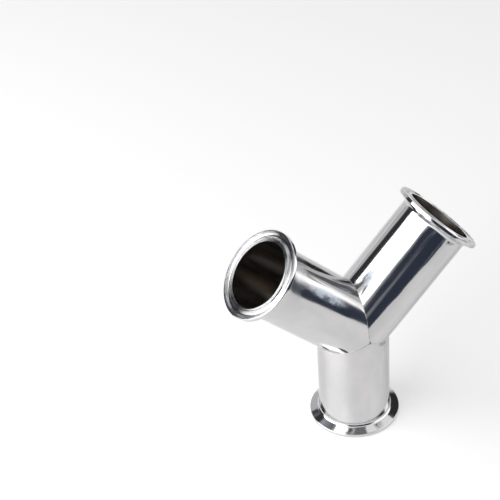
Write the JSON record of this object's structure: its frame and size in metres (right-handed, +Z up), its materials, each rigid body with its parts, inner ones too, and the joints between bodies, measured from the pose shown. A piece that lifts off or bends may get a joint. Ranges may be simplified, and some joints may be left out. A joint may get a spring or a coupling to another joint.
{
  "type": "sanitary clamp y fitting",
  "caption": "Stainless Y-shaped sanitary pipe fitting: an upright stem and two branches spread at a right angle, mitred and welded, each ending in a flanged clamp ferrule with a gasket groove.",
  "frame": {"origin": "centre of the stem ferrule's face, on which the fitting stands", "axes": "+Z up along the stem towards the junction, +X towards the right branch in the plane of the three tube axes, +Y square to that plane"},
  "size_m": [0.181, 0.064, 0.1695],
  "materials": {
    "polished_tube": "stainless steel, polished along the tube to a bright satin",
    "turned_ferrule": "stainless steel, turned and mirror polished"
  },
  "bodies": {
    "root": {"stem_tube": "polished_tube", "left_tube": "polished_tube", "right_tube": "polished_tube", "stem_ferrule": "turned_ferrule", "left_ferrule": "turned_ferrule", "right_ferrule": "turned_ferrule"}
  },
  "joints": []
}
